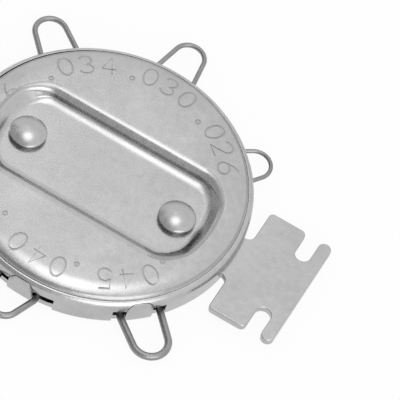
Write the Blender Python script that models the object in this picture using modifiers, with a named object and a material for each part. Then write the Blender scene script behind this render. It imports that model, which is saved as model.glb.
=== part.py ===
"""Spark plug gap gauge.

Two pressed steel shells are nested and riveted together. The front shell has the face, a
barrel-shaped recess and a skirt. The back shell is a pan, whose wall wraps the skirt. Seven
gauge wires are bent to loops, and each is clamped between the pan's floor and the skirt's
edge. Their legs pass through slots in the wall, on both sides of a tongue that a narrow gap
over its top parts from the wall. A slotted tab for bending a plug's side electrode runs
through the wall and between the two recess floors.

Everything is modelled round the disc's centre, with the tab along +X and the back on z = 0.
Lengths are in metres, and angles in degrees.
"""

import math
from collections import namedtuple

import bmesh
import bpy
from mathutils import Matrix, Vector

NAME = "spark_plug_gap_gauge"

# Shells
BODY_RADIUS = 0.0230
SHEET = 0.0008
SHELL_CLEARANCE = 0.0001
SEAT_CLEARANCE = 0.00005
SHOULDER_RADIUS = 0.0009
PAN_BEND_RADIUS = 0.00105
WALL_DROP = 0.00105

# Recess pressed into both shells
FRONT_RECESS_DEPTH = 0.0019
BACK_RECESS_DEPTH = 0.0010
RECESS_HALF_WIDTH = 0.0088
RECESS_END_BAND = 0.0060
RECESS_CORNER_RADIUS = 0.0033
LIP_RADIUS = 0.0009
FOOT_RADIUS = 0.00015
RECESS_WALL_ANGLE = 80.0

# Slots and tongues in the pan's wall
TONGUE_WIDTH = 0.00412
TONGUE_CORNER_RADIUS = 0.0013
TONGUE_GAP = 0.00012
SLOT_TOP_DROP = 0.00155
SLOT_FLOOR_EDGE = 0.0008

# Bending tab
TAB_THICKNESS = 0.0012
SHANK_WIDTH = 0.00756
SHANK_OVERRUN = 0.0030
SHANK_END_RADIUS = 0.0010
NECK_FILLET = 0.0011
TAB_STANDOFF = 0.0009
TAB_PLATE_LENGTH = 0.0062
TAB_WIDTH = 0.0201
TAB_INNER_CORNER = 0.0007
TAB_OUTER_CORNER = 0.0009
TAB_SLOT_WIDTH = 0.00245
TAB_WEB_WIDTH = 0.01035
TAB_BAR_WIDTH = 0.00205
TAB_EDGE_ROUND = 0.00012

# Rivets
RIVET_END_GAP = 0.0001
RIVET_HEAD_RADIUS = 0.00285
RIVET_HEAD_HEIGHT = 0.0010
RIVET_HEAD_RIM = 0.0003
RIVET_SHANK_RADIUS = 0.0015
RIVET_TAIL_RADIUS = 0.0022
RIVET_TAIL_HEIGHT = 0.0007
RIVET_TAIL_ROUND = 0.0003

# Gauge wires
INCH = 0.0254
WIRE_FOOT_CLEARANCE = 0.0003
WIRE_FOOT_LENGTH = 0.0026
WIRE_BEND_RADIUS = 0.0011

# Each station round the rim. The number is the wire's diameter in thousandths of an inch.
# Angle is the tongue's middle. Slack is the gap that a leg leaves beside the tongue, on the
# clockwise and the anticlockwise side, above the seat clearance. Tip half-width, sway and
# reach give the loop's round end: its radius, how far its middle stands anticlockwise of the
# tongue's, and how far out it goes. Tongue drop is measured from the wall's top edge.
Station = namedtuple(
    "Station", "number angle slot_width slack tip_half_width sway reach tongue_drop"
)
STATIONS = (
    Station(45, -45.8, 0.00205, (0.0, 0.00074), 0.00273, 0.00062, 0.00692, 0.00035),
    Station(40, -91.6, 0.00330, (0.00133, 0.0), 0.00228, -0.00074, 0.00509, 0.00045),
    Station(38, -136.0, 0.00205, (0.00015, 0.00015), 0.00245, 0.0, 0.00720, 0.00045),
    Station(36, 180.0, 0.00205, (0.00015, 0.00015), 0.00245, 0.0, 0.00740, 0.00045),
    Station(34, 135.0, 0.00205, (0.00087, 0.0), 0.00248, -0.00015, 0.00757, 0.00045),
    Station(30, 90.0, 0.00220, (0.00050, 0.00120), 0.00241, 0.00012, 0.00783, 0.00045),
    Station(26, 43.8, 0.00205, (0.0, 0.00066), 0.00243, 0.00040, 0.00410, 0.00045),
)

# How finely the round forms are divided
DISC_STEPS = 70
RECESS_END_STEPS = 4
RECESS_CORNER_STEPS = 5
RECESS_SIDE_STEPS = 2
BEND_STEPS = 4
FOOT_STEPS = 2
CORNER_STEPS = 4
TONGUE_CORNER_STEPS = 3
RIVET_STEPS = 24
DOME_STEPS = 5
TIP_STEPS = 8
WIRE_BEND_STEPS = 3
SMOOTH_ANGLE = 32.0
CLOSE_POINTS = 0.000001
WALL_DEPTH_SHARE = 0.97

# What follows from the sizes above
RECESS_END_RADIUS = BODY_RADIUS - RECESS_END_BAND
BACK_FLOOR_TOP = BACK_RECESS_DEPTH + SHEET
TAB_BOTTOM = BACK_FLOOR_TOP + SEAT_CLEARANCE
TAB_TOP = TAB_BOTTOM + TAB_THICKNESS
FRONT_FLOOR_TOP = TAB_TOP + SEAT_CLEARANCE + SHEET
BODY_HEIGHT = FRONT_FLOOR_TOP + FRONT_RECESS_DEPTH
WALL_TOP = BODY_HEIGHT - WALL_DROP
SKIRT_RADIUS = BODY_RADIUS - SHEET - SHELL_CLEARANCE
THICKEST_WIRE = max(station.number for station in STATIONS) * INCH / 1000
SKIRT_BOTTOM = SHEET + SEAT_CLEARANCE + THICKEST_WIRE + SEAT_CLEARANCE
SLOT_BOTTOM = SHEET + SEAT_CLEARANCE / 2
SLOT_TOP = WALL_TOP - SLOT_TOP_DROP
RIVET_HOLE_RADIUS = RIVET_SHANK_RADIUS + SHELL_CLEARANCE
CUT_MARGIN = 2 * SHEET
CUT_OVERLAP = SHEET / 40
UP = Vector((0.0, 0.0, 1.0))

# Colour, roughness and metallic value of each finish
PLATED_SHEET = (0.56, 0.56, 0.56), 0.34, 1.0
PLATED_TAB = (0.55, 0.55, 0.55), 0.36, 1.0
RIVET_STEEL = (0.50, 0.50, 0.50), 0.28, 1.0
WIRE_STEEL = (0.40, 0.40, 0.41), 0.30, 1.0


def clear_scene():
    for obj in list(bpy.data.objects):
        bpy.data.objects.remove(obj, do_unlink=True)


def new_collection(name):
    collection = bpy.data.collections.new(name)
    bpy.context.scene.collection.children.link(collection)
    return collection


def material(name, finish):
    colour, roughness, metallic = finish
    made = bpy.data.materials.new(name)
    made.use_nodes = True
    shader = made.node_tree.nodes["Principled BSDF"]
    shader.inputs["Base Color"].default_value = (*colour, 1.0)
    shader.inputs["Roughness"].default_value = roughness
    shader.inputs["Metallic"].default_value = metallic
    made.diffuse_color = (*colour, 1.0)
    return made


def add_object(name, data, collection, finish=None):
    obj = bpy.data.objects.new(name, data)
    collection.objects.link(obj)
    if finish:
        data.materials.append(material(name + "_finish", finish))
    return obj


def make_cutter(obj):
    obj.hide_render = True
    obj.display_type = "WIRE"
    return obj


def arc(centre, radius, start, end, steps):
    """Points of an arc, both ends included, with its angles in degrees."""
    angles = [math.radians(start + (end - start) * k / steps) for k in range(steps + 1)]
    return [(centre[0] + radius * math.cos(a), centre[1] + radius * math.sin(a)) for a in angles]


def rounded_outline(corners, steps=CORNER_STEPS):
    """Points of a closed outline given as (x, y, radius) corners, each rounded by its radius."""
    points = []
    for index, (x, y, radius) in enumerate(corners):
        corner = Vector((x, y))
        before = (Vector(corners[index - 1][:2]) - corner).normalized()
        after = (Vector(corners[(index + 1) % len(corners)][:2]) - corner).normalized()
        half = before.angle(after) / 2
        centre = corner + (before + after).normalized() * radius / math.sin(half)
        first = corner + before * radius / math.tan(half) - centre
        last = corner + after * radius / math.tan(half) - centre
        start = math.atan2(first.y, first.x)
        turn = math.remainder(math.atan2(last.y, last.x) - start, math.tau)
        for k in range(steps + 1):
            angle = start + turn * k / steps
            points.append(centre + Vector((math.cos(angle), math.sin(angle))) * radius)
    return merge_close(points)


def merge_close(points):
    """The points without any that repeats the one before it, round the closed outline."""
    return [p for k, p in enumerate(points) if (p - points[k - 1]).length > CLOSE_POINTS]


def flat_plate(name, outline, thickness, collection, finish=None, holes=()):
    """A plate of this outline and holes, a filled 2D curve made into a mesh, middle on z = 0."""
    curve = bpy.data.curves.new(name, "CURVE")
    curve.dimensions = "2D"
    curve.fill_mode = "BOTH"
    curve.extrude = thickness / 2
    for loop in (outline, *holes):
        spline = curve.splines.new("POLY")
        spline.points.add(len(loop) - 1)
        for point, place in zip(spline.points, loop):
            point.co = (place[0], place[1], 0.0, 1.0)
        spline.use_cyclic_u = True
    return curve_to_mesh(add_object(name, curve, collection), collection, finish)


def curve_to_mesh(curve_object, collection, finish=None):
    """The curve object's shape as a closed mesh object of the same name and place."""
    name = curve_object.name
    graph = bpy.context.evaluated_depsgraph_get()
    mesh = bpy.data.meshes.new_from_object(curve_object.evaluated_get(graph))
    bm = bmesh.new()
    bm.from_mesh(mesh)
    bmesh.ops.remove_doubles(bm, verts=bm.verts, dist=CLOSE_POINTS)
    bmesh.ops.recalc_face_normals(bm, faces=bm.faces)
    bm.to_mesh(mesh)
    bm.free()
    place = curve_object.matrix_world.copy()
    bpy.data.objects.remove(curve_object)
    made = add_object(name, mesh, collection, finish)
    made.matrix_world = place
    return made


def turned(name, profile, steps, collection, finish=None):
    """A solid turned round Z. The (radius, height) profile runs down its outer side."""
    mesh = bpy.data.meshes.new(name)
    bm = bmesh.new()
    line = [bm.verts.new((radius, 0.0, height)) for radius, height in profile]
    for start, end in zip(line, line[1:]):
        bm.edges.new((start, end))
    bm.to_mesh(mesh)
    bm.free()
    obj = add_object(name, mesh, collection, finish)
    screw = obj.modifiers.new("turn", "SCREW")
    screw.steps = steps
    screw.render_steps = steps
    screw.use_merge_vertices = True
    screw.merge_threshold = CLOSE_POINTS
    return obj


def cut(obj, cutter, name):
    boolean = obj.modifiers.new(name, "BOOLEAN")
    boolean.operation = "DIFFERENCE"
    boolean.solver = "EXACT"
    boolean.object = cutter


def settle(obj, smooth_angle=SMOOTH_ANGLE):
    """Applies the object's modifiers, then shades its round faces smooth."""
    bpy.context.view_layer.update()
    graph = bpy.context.evaluated_depsgraph_get()
    rough = obj.data
    obj.data = bpy.data.meshes.new_from_object(obj.evaluated_get(graph))
    obj.data.name = obj.name
    obj.modifiers.clear()
    bpy.data.meshes.remove(rough)
    obj.data.shade_smooth()
    obj.data.set_sharp_from_angle(angle=math.radians(smooth_angle))


def recess_outline(outset):
    """The barrel-shaped recess outline moved outwards by outset, anticlockwise from +X.

    Its ends are arcs round the disc's centre and its long sides are straight. Every corner
    arc keeps its centre, so outlines of any outset have matching points.
    """
    corner_y = RECESS_HALF_WIDTH - RECESS_CORNER_RADIUS
    corner_x = math.sqrt((RECESS_END_RADIUS - RECESS_CORNER_RADIUS) ** 2 - corner_y ** 2)
    end_angle = math.degrees(math.atan2(corner_y, corner_x))
    quarter = arc((0.0, 0.0), RECESS_END_RADIUS + outset, 0.0, end_angle, RECESS_END_STEPS)
    corner = arc((corner_x, corner_y), RECESS_CORNER_RADIUS + outset, end_angle, 90.0,
                 RECESS_CORNER_STEPS)
    side = [(corner_x * (1 - k / RECESS_SIDE_STEPS), RECESS_HALF_WIDTH + outset)
            for k in range(1, RECESS_SIDE_STEPS + 1)]
    quarter += corner[1:] + side
    upper = quarter + [(-x, y) for x, y in reversed(quarter[:-1])]
    return upper + [(x, -y) for x, y in reversed(upper[1:-1])]


def recess_section(depth):
    """(outset, drop) points of the recess wall, from the edge of its floor up to the face."""
    curves = LIP_RADIUS + FOOT_RADIUS
    steepest = math.acos(max(1 - WALL_DEPTH_SHARE * depth / curves, -1.0))
    lean = min(math.radians(RECESS_WALL_ANGLE), steepest)
    straight = (depth - curves * (1 - math.cos(lean))) / math.sin(lean)
    foot_outset = -curves * math.sin(lean) - straight * math.cos(lean)
    section = []
    for k in range(FOOT_STEPS + 1):
        turn = lean * k / FOOT_STEPS
        section.append((foot_outset + FOOT_RADIUS * math.sin(turn),
                        depth - FOOT_RADIUS * (1 - math.cos(turn))))
    for k in range(BEND_STEPS + 1):
        turn = lean * (1 - k / BEND_STEPS)
        section.append((-LIP_RADIUS * math.sin(turn), LIP_RADIUS * (1 - math.cos(turn))))
    return section


def disc_outline(radius):
    return arc((0.0, 0.0), radius, 0.0, 360.0, DISC_STEPS)[:-1]


def add_ring(bm, outline, height):
    return [bm.verts.new((x, y, height)) for x, y in outline]


def loft(bm, inner, outer):
    """Faces between two rings with matching points."""
    for k in range(len(inner)):
        bm.faces.new((inner[k - 1], outer[k - 1], outer[k], inner[k]))


def fill_between(bm, inner, outer):
    """Triangles between two rings whose points don't match, taken in order of their angle."""
    def heading(ring, index):
        place = ring[index % len(ring)].co
        turned_so_far = math.tau * (index // len(ring))
        return math.atan2(place.y, place.x) % math.tau + turned_so_far

    i = j = 0
    while i < len(inner) or j < len(outer):
        start, across = inner[i % len(inner)], outer[j % len(outer)]
        if j == len(outer) or (i < len(inner) and heading(inner, i + 1) < heading(outer, j + 1)):
            i += 1
            bm.faces.new((start, across, inner[i % len(inner)]))
        else:
            j += 1
            bm.faces.new((start, across, outer[j % len(outer)]))


def pressed_shell(name, depth, rim_section, collection, finish, upside_down=False):
    """A pressed shell: its outer skin, lofted from the recess floor to the rim, and thickened.

    Heights of the skin are drops below the flat face. A shell that lies upside down has its
    face at the bottom, on z = 0.
    """
    def height(drop):
        return drop if upside_down else BODY_HEIGHT - drop

    bm = bmesh.new()
    recess = [add_ring(bm, recess_outline(outset), height(drop))
              for outset, drop in recess_section(depth)]
    rim = [add_ring(bm, disc_outline(radius), height(drop)) for radius, drop in rim_section]
    bm.faces.new(recess[0])
    for rings in (recess, rim):
        for inner, outer in zip(rings, rings[1:]):
            loft(bm, inner, outer)
    fill_between(bm, recess[-1], rim[0])
    if upside_down:
        bmesh.ops.reverse_faces(bm, faces=bm.faces)
    mesh = bpy.data.meshes.new(name)
    bm.to_mesh(mesh)
    bm.free()
    shell = add_object(name, mesh, collection, finish)
    sheet = shell.modifiers.new("sheet", "SOLIDIFY")
    sheet.thickness = SHEET
    sheet.offset = -1.0
    sheet.use_even_offset = True
    return shell


def bend_section(bend_radius, outer_radius, end_drop):
    """(radius, drop) points of a rim, round its outer bend and down to its edge."""
    bend = arc((outer_radius - bend_radius, 0.0), bend_radius, 90.0, 0.0, BEND_STEPS)
    return [(radius, bend_radius - rise) for radius, rise in bend] + [(outer_radius, end_drop)]


def front_shell(collection):
    section = bend_section(SHOULDER_RADIUS, SKIRT_RADIUS, BODY_HEIGHT - SKIRT_BOTTOM)
    return pressed_shell("front_shell", FRONT_RECESS_DEPTH, section, collection, PLATED_SHEET)


def back_shell(collection):
    section = bend_section(PAN_BEND_RADIUS, BODY_RADIUS, WALL_TOP)
    return pressed_shell("back_shell", BACK_RECESS_DEPTH, section, collection, PLATED_SHEET,
                         upside_down=True)


def outward_at(angle):
    turn = math.radians(angle)
    return Vector((math.cos(turn), math.sin(turn), 0.0))


def sideways_at(angle):
    """The direction across the outward one, anticlockwise round the disc."""
    return UP.cross(outward_at(angle))


def upright_cutter(name, outline, along, near, far, cutters):
    """A prism of a (distance along, height) outline, from near to far of the disc's centre."""
    through = along.cross(UP)
    prism = flat_plate(name, outline, far - near, cutters)
    turn = Matrix((along, UP, through)).transposed().to_4x4()
    prism.matrix_world = Matrix.Translation(through * (near + far) / 2) @ turn
    return make_cutter(prism)


def box_outline(left, right, bottom, top):
    return [Vector(corner) for corner in ((left, bottom), (right, bottom), (right, top), (left, top))]


def join(objects, name):
    """One object of the meshes of several, which don't touch each other."""
    bm = bmesh.new()
    for obj in objects:
        start = len(bm.verts)
        bm.from_mesh(obj.data)
        bm.verts.ensure_lookup_table()
        bmesh.ops.transform(bm, matrix=obj.matrix_world, verts=bm.verts[start:])
    mesh = bpy.data.meshes.new(name)
    bm.to_mesh(mesh)
    bm.free()
    collection = objects[0].users_collection[0]
    for obj in objects:
        bpy.data.objects.remove(obj)
    return make_cutter(add_object(name, mesh, collection))


def wall_cutter(name, outline, half_width, angle, cutters):
    """A prism through the pan's wall that starts inside it, also at the outline's sides."""
    inside = math.sqrt((SKIRT_RADIUS - SHEET / 2) ** 2 - half_width ** 2) - SHEET
    return upright_cutter(name, outline, sideways_at(angle), inside, BODY_RADIUS + CUT_MARGIN,
                          cutters)


def station_slots(station, cutters):
    """What is cut for the wire's legs: slots in the wall, and below them the pan's bend."""
    outward = outward_at(station.angle)
    near = TONGUE_WIDTH / 2
    far = near + station.slot_width
    inside = math.sqrt((SKIRT_RADIUS - SHEET / 2) ** 2 - far ** 2) - SHEET
    floor_edge = BODY_RADIUS - SLOT_FLOOR_EDGE
    outside = BODY_RADIUS + CUT_MARGIN
    outline = [(inside, SLOT_TOP), (inside, SLOT_BOTTOM), (floor_edge, SLOT_BOTTOM),
               (floor_edge, -CUT_MARGIN), (outside, -CUT_MARGIN), (outside, SLOT_TOP)]
    name = f"slot_{station.number:03d}"
    return [upright_cutter(f"{name}_clockwise", outline, outward, near, far, cutters),
            upright_cutter(f"{name}_anticlockwise", outline, outward, -far, -near, cutters)]


def tongue_gap(station, cutters):
    """The narrow gap that runs from slot to slot over a tongue, round its corners."""
    tongue = TONGUE_WIDTH / 2
    centre = (TONGUE_CORNER_RADIUS - tongue, WALL_TOP - station.tongue_drop - TONGUE_CORNER_RADIUS)
    lower, upper = (arc(centre, radius, 180.0, 90.0, TONGUE_CORNER_STEPS)
                    for radius in (TONGUE_CORNER_RADIUS + CUT_OVERLAP,
                                   TONGUE_CORNER_RADIUS + TONGUE_GAP))
    left = lower[::-1] + upper
    outline = left + [(-along, height) for along, height in reversed(left)]
    return wall_cutter(f"tongue_gap_{station.number:03d}", outline, tongue, station.angle, cutters)


def cut_back_shell(shell, cutters):
    slots = [slot for station in STATIONS for slot in station_slots(station, cutters)]
    cut(shell, join(slots, "slots"), "slots")
    half = SHANK_WIDTH / 2 + SHELL_CLEARANCE
    tab_hole = box_outline(-half, half, TAB_BOTTOM - SEAT_CLEARANCE, TAB_TOP + SEAT_CLEARANCE)
    gaps = [tongue_gap(station, cutters) for station in STATIONS]
    gaps.append(wall_cutter("tab_hole", tab_hole, half, 0.0, cutters))
    cut(shell, join(gaps, "gaps"), "gaps")


def cut_front_shell(shell, cutters):
    half = SHANK_WIDTH / 2 + SHELL_CLEARANCE
    outline = box_outline(-half, half, SKIRT_BOTTOM - CUT_MARGIN, TAB_TOP + SEAT_CLEARANCE)
    cutter = upright_cutter("skirt_tab_notch", outline, sideways_at(0.0),
                            RECESS_END_RADIUS + 2 * SHEET, BODY_RADIUS + CUT_MARGIN, cutters)
    cut(shell, cutter, "tab notch")


def rivet_offset():
    """How far out the rivets sit, their heads just clear of the foot of the recess's ends."""
    foot_outset = recess_section(FRONT_RECESS_DEPTH)[0][0]
    return RECESS_END_RADIUS + foot_outset - RIVET_END_GAP - RIVET_HEAD_RADIUS


def drill_rivet_holes(shells, cutters):
    profile = [(0.0, BODY_HEIGHT), (RIVET_HOLE_RADIUS, BODY_HEIGHT), (RIVET_HOLE_RADIUS, 0.0),
               (0.0, 0.0)]
    for side in (1, -1):
        drill = turned(f"rivet_hole_{side}", profile, RIVET_STEPS, cutters)
        drill.location.x = side * rivet_offset()
        make_cutter(drill)
        for shell in shells:
            cut(shell, drill, "rivet hole")


def rivet(name, offset, collection):
    """A rivet: domed head on the front recess floor, shank, and spread tail in the back recess."""
    seat = FRONT_FLOOR_TOP + SEAT_CLEARANCE
    dome_height = RIVET_HEAD_HEIGHT - RIVET_HEAD_RIM
    dome_radius = (RIVET_HEAD_RADIUS ** 2 + dome_height ** 2) / (2 * dome_height)
    spread = math.degrees(math.asin(RIVET_HEAD_RADIUS / dome_radius))
    dome = [(0.0, seat + RIVET_HEAD_HEIGHT)]
    dome += arc((0.0, seat + RIVET_HEAD_HEIGHT - dome_radius), dome_radius, 90.0, 90.0 - spread,
                DOME_STEPS)[1:]
    tail_top = BACK_RECESS_DEPTH - SEAT_CLEARANCE
    tail_bottom = tail_top - RIVET_TAIL_HEIGHT
    tail = arc((RIVET_TAIL_RADIUS - RIVET_TAIL_ROUND, tail_bottom + RIVET_TAIL_ROUND),
               RIVET_TAIL_ROUND, 0.0, -90.0, 2)
    profile = dome + [(RIVET_HEAD_RADIUS, seat), (RIVET_SHANK_RADIUS, seat),
                      (RIVET_SHANK_RADIUS, tail_top), (RIVET_TAIL_RADIUS, tail_top)]
    profile += tail + [(0.0, tail_bottom)]
    obj = turned(name, profile, RIVET_STEPS, collection, RIVET_STEEL)
    obj.location.x = offset
    settle(obj)
    return obj


def bending_tab(collection):
    """The stamped tab: a plate with two open slots and a bar beyond them, and its shank."""
    neck = SHANK_WIDTH / 2
    half = TAB_WIDTH / 2
    inner = BODY_RADIUS + TAB_STANDOFF
    slot_in = inner + TAB_PLATE_LENGTH
    slot_out = slot_in + TAB_SLOT_WIDTH
    tip = slot_out + TAB_BAR_WIDTH
    web = TAB_WEB_WIDTH / 2
    slot_round = TAB_SLOT_WIDTH / 2
    bar_round = TAB_BAR_WIDTH / 2
    upper = [
        (tip, half, bar_round), (slot_out, half, bar_round),
        (slot_out, web, slot_round), (slot_in, web, slot_round),
        (slot_in, half, TAB_OUTER_CORNER), (inner, half, TAB_INNER_CORNER),
        (inner, neck, NECK_FILLET), (-rivet_offset() - SHANK_OVERRUN, neck, SHANK_END_RADIUS),
    ]
    outline = rounded_outline(upper + [(x, -y, radius) for x, y, radius in reversed(upper)])
    holes = [arc((side * rivet_offset(), 0.0), RIVET_HOLE_RADIUS, 0.0, 360.0, RIVET_STEPS)[:-1]
             for side in (1, -1)]
    tab = flat_plate("bending_tab", outline, TAB_THICKNESS, collection, PLATED_TAB, holes)
    tab.location.z = (TAB_BOTTOM + TAB_TOP) / 2
    rounding = tab.modifiers.new("edge round", "BEVEL")
    rounding.width = TAB_EDGE_ROUND
    rounding.segments = 1
    rounding.limit_method = "ANGLE"
    rounding.angle_limit = math.radians(60)
    return tab


def wire_path(station):
    """A gauge wire's centre line as (outward, sideways) points, from one foot to the other."""
    radius = station.number * INCH / 2000
    clockwise, anticlockwise = (TONGUE_WIDTH / 2 + SEAT_CLEARANCE + slack + radius
                                for slack in station.slack)
    foot_end = WIRE_FOOT_LENGTH + max(clockwise, anticlockwise)
    behind_skirt = math.sqrt((SKIRT_RADIUS - SHEET) ** 2 - foot_end ** 2)
    foot = behind_skirt - radius - WIRE_FOOT_CLEARANCE
    tip_centre = BODY_RADIUS + station.reach - station.tip_half_width

    def leg(root, side):
        """One foot and leg, up to where the round end starts, with side 1 or -1."""
        bend = arc((foot + WIRE_BEND_RADIUS, root + WIRE_BEND_RADIUS), WIRE_BEND_RADIUS,
                   180.0, 270.0, WIRE_BEND_STEPS)
        points = [(foot, root + WIRE_FOOT_LENGTH)] + bend + [(BODY_RADIUS, root)]
        return [(outward, side * sideways) for outward, sideways in points]

    def lean(root, side):
        tip_side = station.tip_half_width + side * station.sway
        return math.degrees(math.atan2(root - tip_side, tip_centre - BODY_RADIUS))

    tip = arc((tip_centre, station.sway), station.tip_half_width,
              90.0 - lean(anticlockwise, 1), -90.0 + lean(clockwise, -1), TIP_STEPS)
    return leg(anticlockwise, 1) + tip + leg(clockwise, -1)[::-1]


def gauge_wire(station, collection):
    name = f"wire_gauge_{station.number:03d}"
    radius = station.number * INCH / 2000
    curve = bpy.data.curves.new(name, "CURVE")
    curve.dimensions = "3D"
    curve.bevel_depth = radius
    curve.bevel_resolution = 2
    curve.use_fill_caps = True
    path = wire_path(station)
    spline = curve.splines.new("POLY")
    spline.points.add(len(path) - 1)
    for point, (outward, sideways) in zip(spline.points, path):
        point.co = (outward, sideways, 0.0, 1.0)
    wire = add_object(name, curve, collection, WIRE_STEEL)
    wire.location.z = SHEET + SEAT_CLEARANCE + radius
    wire.rotation_euler.z = math.radians(station.angle)
    return wire


def world_points(piece, graph):
    shape = piece.evaluated_get(graph)
    points = [piece.matrix_world @ vertex.co for vertex in shape.to_mesh().vertices]
    shape.to_mesh_clear()
    return points


def stand_on_origin(pieces):
    """Hangs every piece from an empty, which puts the middle of their shared box over zero."""
    bpy.context.view_layer.update()
    graph = bpy.context.evaluated_depsgraph_get()
    points = [point for piece in pieces for point in world_points(piece, graph)]
    middle = [(min(p[axis] for p in points) + max(p[axis] for p in points)) / 2
              for axis in (0, 1)]
    root = bpy.data.objects.new(NAME, None)
    bpy.context.scene.collection.objects.link(root)
    for piece in pieces:
        piece.parent = root
    root.location = (-middle[0], -middle[1], 0.0)


def main():
    clear_scene()
    parts = new_collection(NAME)
    cutters = new_collection("cutters")
    front = front_shell(parts)
    back = back_shell(parts)
    tab = bending_tab(parts)
    cut_front_shell(front, cutters)
    cut_back_shell(back, cutters)
    drill_rivet_holes((front, back), cutters)
    for piece in (front, back, tab):
        settle(piece)
    rivets = [rivet("rivet_tab_side", rivet_offset(), parts),
              rivet("rivet_far_side", -rivet_offset(), parts)]
    wires = [gauge_wire(station, parts) for station in STATIONS]
    stand_on_origin([front, back, tab, *rivets, *wires])


main()
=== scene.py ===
"""Spark plug gap gauge: the finished pieces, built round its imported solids.

The gauge is worked out round the disc's centre, in metres and degrees, with the bending tab
along +X and the back on z = 0. Each finished mesh is then moved to where its solid is.
"""

import math
from collections import namedtuple
from contextlib import contextmanager

import bmesh
import bpy
from bpy.props import FloatProperty, FloatVectorProperty, IntProperty, PointerProperty
from mathutils import Matrix, Vector


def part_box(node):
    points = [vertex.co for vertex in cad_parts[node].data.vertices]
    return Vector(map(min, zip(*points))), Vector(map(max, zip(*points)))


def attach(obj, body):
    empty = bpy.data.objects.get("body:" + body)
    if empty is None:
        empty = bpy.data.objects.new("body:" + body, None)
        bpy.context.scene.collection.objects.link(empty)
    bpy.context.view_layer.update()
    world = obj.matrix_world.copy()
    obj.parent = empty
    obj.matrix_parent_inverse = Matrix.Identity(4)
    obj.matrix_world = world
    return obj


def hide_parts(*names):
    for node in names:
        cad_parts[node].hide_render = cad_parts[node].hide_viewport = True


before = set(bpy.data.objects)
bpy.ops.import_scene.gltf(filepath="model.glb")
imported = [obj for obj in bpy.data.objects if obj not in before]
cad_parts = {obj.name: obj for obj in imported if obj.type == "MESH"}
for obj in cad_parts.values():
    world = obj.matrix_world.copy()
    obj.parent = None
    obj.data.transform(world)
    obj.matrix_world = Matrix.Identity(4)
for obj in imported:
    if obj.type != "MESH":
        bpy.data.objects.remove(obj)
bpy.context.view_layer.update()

bl_info = {
    "name": "Spark plug gap gauge",
    "version": (1, 0, 0),
    "blender": (4, 5, 0),
    "location": "3D View > Sidebar > Gap gauge",
    "description": "Builds the pieces of a spark plug gap gauge with their finishes",
    "category": "Object",
}

FACE_LOW, FACE_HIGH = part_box("front_shell")
PAN_LOW, PAN_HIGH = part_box("back_shell")
TAB_LOW, TAB_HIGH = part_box("bending_tab")
CENTRE = Vector(((PAN_LOW.x + PAN_HIGH.x) / 2, (PAN_LOW.y + PAN_HIGH.y) / 2, 0.0))
UP = Vector((0.0, 0.0, 1.0))
INCH = 0.0254

# Heights closer than HAIR count as the same, and points closer than SAME_POINT are merged.
HAIR = 0.00001
SAME_POINT = 1e-7

# Rows of faces in the gentle and in the steep part of each bend at the recess.
GENTLE_STEPS = 6
STEEP_STEPS = 7

# Each station round the rim. The number is the wire's diameter in thousandths of an inch.
Station = namedtuple(
    "Station", "number angle slot_width slack tip_half_width sway reach tongue_drop"
)
STATIONS = (
    Station(45, -45.8, 0.00205, (0.0, 0.00074), 0.00273, 0.00062, 0.00692, 0.00035),
    Station(40, -91.6, 0.00330, (0.00133, 0.0), 0.00228, -0.00074, 0.00509, 0.00045),
    Station(38, -136.0, 0.00205, (0.00015, 0.00015), 0.00245, 0.0, 0.00720, 0.00045),
    Station(36, 180.0, 0.00205, (0.00015, 0.00015), 0.00245, 0.0, 0.00740, 0.00045),
    Station(34, 135.0, 0.00205, (0.00087, 0.0), 0.00248, -0.00015, 0.00757, 0.00045),
    Station(30, 90.0, 0.00220, (0.00050, 0.00120), 0.00241, 0.00012, 0.00783, 0.00045),
    Station(26, 43.8, 0.00205, (0.0, 0.00066), 0.00243, 0.00040, 0.00410, 0.00045),
)
# A column of a shell's rim: its angle, the heights of its rows, and which bands of the cell
# after it are closed, first its bend and then those between its rows.
Column = namedtuple("Column", "angle heights closed")
SOLID = (True, True, True, True, True)
SLOT = (False, False, False, False, True)
TONGUE = (True, True, True, False, True)
TAB_HOLE = (True, True, False, True, True)
SKIRT_NOTCH = (True, True, False, False, False)

# The stamped gap sizes: each number's signs, and the angle round the disc of each sign.
NUMBERS = (
    (".034", (147.1, 137.9, 128.1, 117.3)),
    (".030", (105.5, 97.5, 87.8, 77.5)),
    (".026", (65.0, 56.7, 47.4, 36.6)),
    (".045", (-31.0, -39.3, -50.3, -60.5)),
    (".040", (-74.2, -81.9, -92.3, -103.4)),
    (".038", (-118.5, -127.0, -137.0, -147.0)),
    (".036", (-163.0, -171.5, 178.5, 168.5)),
)


def length(name, default, description):
    return FloatProperty(name=name, description=description, default=default, min=0.0,
                         unit="LENGTH", precision=5)


def share(name, default, description):
    return FloatProperty(name=name, description=description, default=default, min=0.0,
                         max=1.0, subtype="FACTOR")


def turn(name, default, description):
    return FloatProperty(name=name, description=description, default=math.radians(default),
                         unit="ROTATION")


def count(name, default, description):
    return IntProperty(name=name, description=description, default=default, min=1)


def colour(name, default, description):
    return FloatVectorProperty(name=name, description=description, default=(default,) * 3,
                               size=3, min=0.0, max=1.0, subtype="COLOR")


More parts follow.
